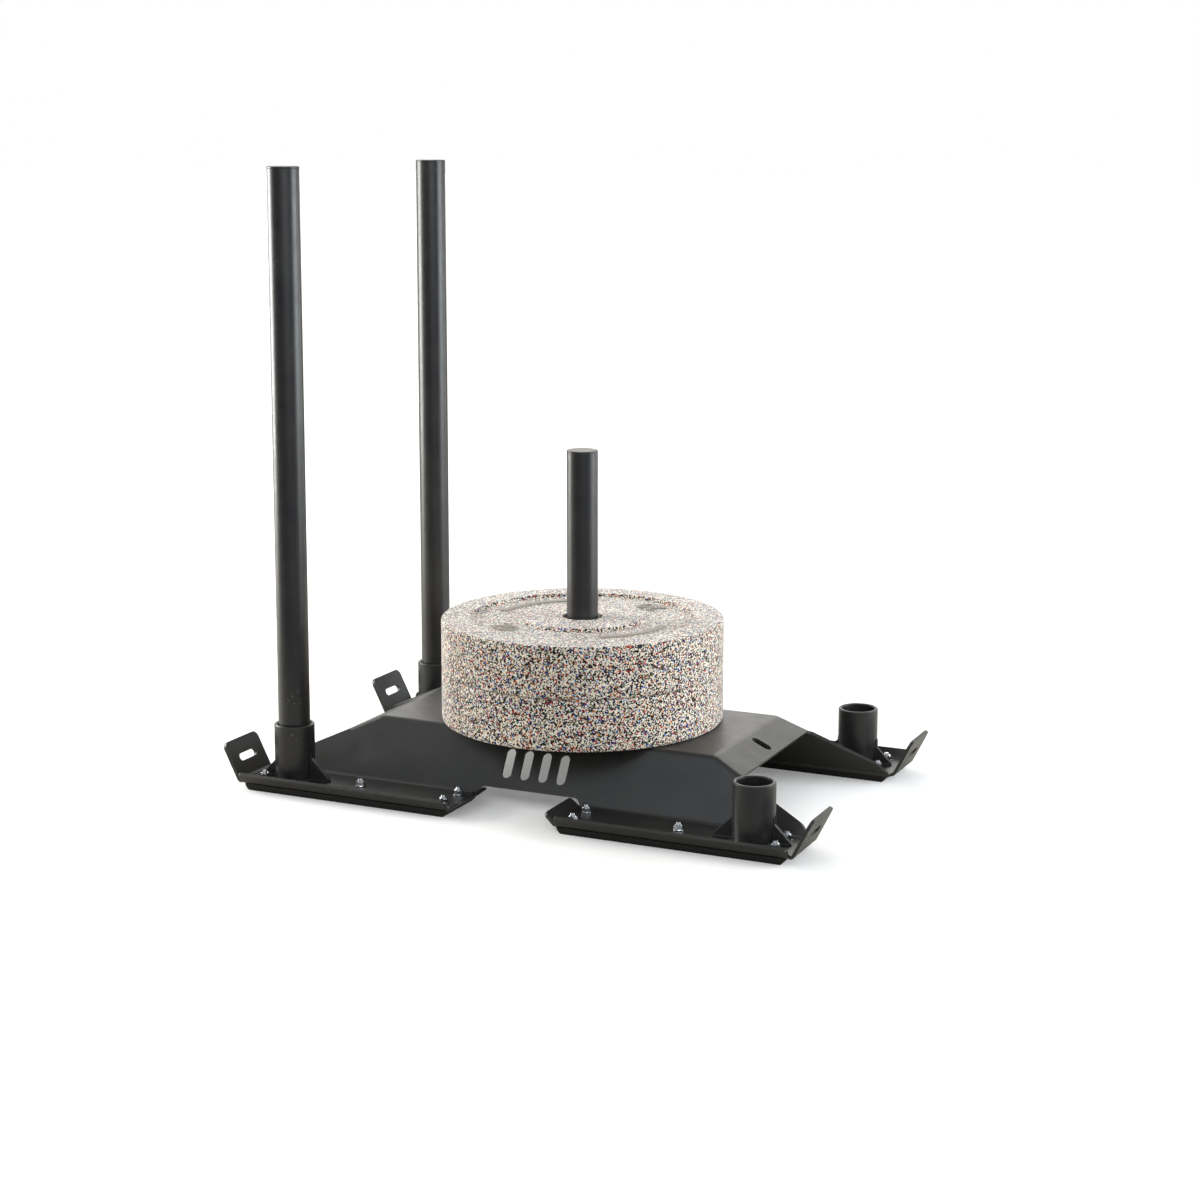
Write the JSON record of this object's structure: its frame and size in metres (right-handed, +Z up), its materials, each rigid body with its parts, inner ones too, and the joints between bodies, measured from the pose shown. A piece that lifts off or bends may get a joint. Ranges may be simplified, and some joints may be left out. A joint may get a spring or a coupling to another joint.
{
  "type": "drag sled",
  "caption": "Steel push and drag sled with upright push poles, a central weight horn loaded with bumper plates, and plastic runners.",
  "frame": {"origin": "on the floor, under the middle of the sled", "axes": "+X forwards, towards the two empty sockets; +Y to the sled's left; +Z up"},
  "size_m": [0.9952, 0.5842, 0.9799],
  "materials": {
    "coated_sheet": "black powder coat on bent steel sheet, fine texture",
    "coated_tube": "black powder coat on steel tube, satin",
    "black_plastic": "machined black polyethylene, scuffed",
    "zinc_steel": "bright zinc plate",
    "cap_steel": "dull turned steel",
    "recycled_rubber": "pressed recycled rubber crumb, pale with coloured flecks"
  },
  "bodies": {
    "base": {"deck_shell": "coated_sheet", "foot_pan_front_left": "coated_sheet", "runner_front_left": "black_plastic", "bolt_front_left_1": "zinc_steel", "bolt_front_left_2": "zinc_steel", "bolt_front_left_3": "zinc_steel", "bolt_front_left_4": "zinc_steel", "bolt_front_left_5": "zinc_steel", "socket_front_left": "coated_tube", "gusset_front_left_inner": "coated_sheet", "gusset_front_left_outer": "coated_sheet", "foot_pan_front_right": "coated_sheet", "runner_front_right": "black_plastic", "bolt_front_right_1": "zinc_steel", "bolt_front_right_2": "zinc_steel", "bolt_front_right_3": "zinc_steel", "bolt_front_right_4": "zinc_steel", "bolt_front_right_5": "zinc_steel", "socket_front_right": "coated_tube", "gusset_front_right_inner": "coated_sheet", "gusset_front_right_outer": "coated_sheet", "foot_pan_rear_left": "coated_sheet", "runner_rear_left": "black_plastic", "bolt_rear_left_1": "zinc_steel", "bolt_rear_left_2": "zinc_steel", "bolt_rear_left_3": "zinc_steel", "bolt_rear_left_4": "zinc_steel", "bolt_rear_left_5": "zinc_steel", "socket_rear_left": "coated_tube", "gusset_rear_left_inner": "coated_sheet", "gusset_rear_left_outer": "coated_sheet", "foot_pan_rear_right": "coated_sheet", "runner_rear_right": "black_plastic", "bolt_rear_right_1": "zinc_steel", "bolt_rear_right_2": "zinc_steel", "bolt_rear_right_3": "zinc_steel", "bolt_rear_right_4": "zinc_steel", "bolt_rear_right_5": "zinc_steel", "socket_rear_right": "coated_tube", "gusset_rear_right_inner": "coated_sheet", "gusset_rear_right_outer": "coated_sheet", "horn_tube": "coated_tube", "horn_cap": "cap_steel", "horn_base_plate": "coated_sheet"},
    "pole_left": {"push_pole_left": "coated_tube", "pole_cap_left": "coated_tube"},
    "pole_right": {"push_pole_right": "coated_tube", "pole_cap_right": "coated_tube"},
    "lower_plate": {"bumper_plate_lower": "recycled_rubber", "hub_insert_lower": "cap_steel"},
    "upper_plate": {"bumper_plate_upper": "recycled_rubber", "hub_insert_upper": "cap_steel"}
  },
  "joints": [
    {"name": "pole_left_lift", "type": "slide", "parent": "base", "child": "pole_left", "axis": [0, 0, 1], "range_m": [0, 0.12]},
    {"name": "pole_right_lift", "type": "slide", "parent": "base", "child": "pole_right", "axis": [0, 0, 1], "range_m": [0, 0.12]},
    {"name": "lower_plate_lift", "type": "slide", "parent": "base", "child": "lower_plate", "axis": [0, 0, 1], "range_m": [0, 0.45]},
    {"name": "upper_plate_lift", "type": "slide", "parent": "lower_plate", "child": "upper_plate", "axis": [0, 0, 1], "range_m": [0, 0.37]}
  ]
}
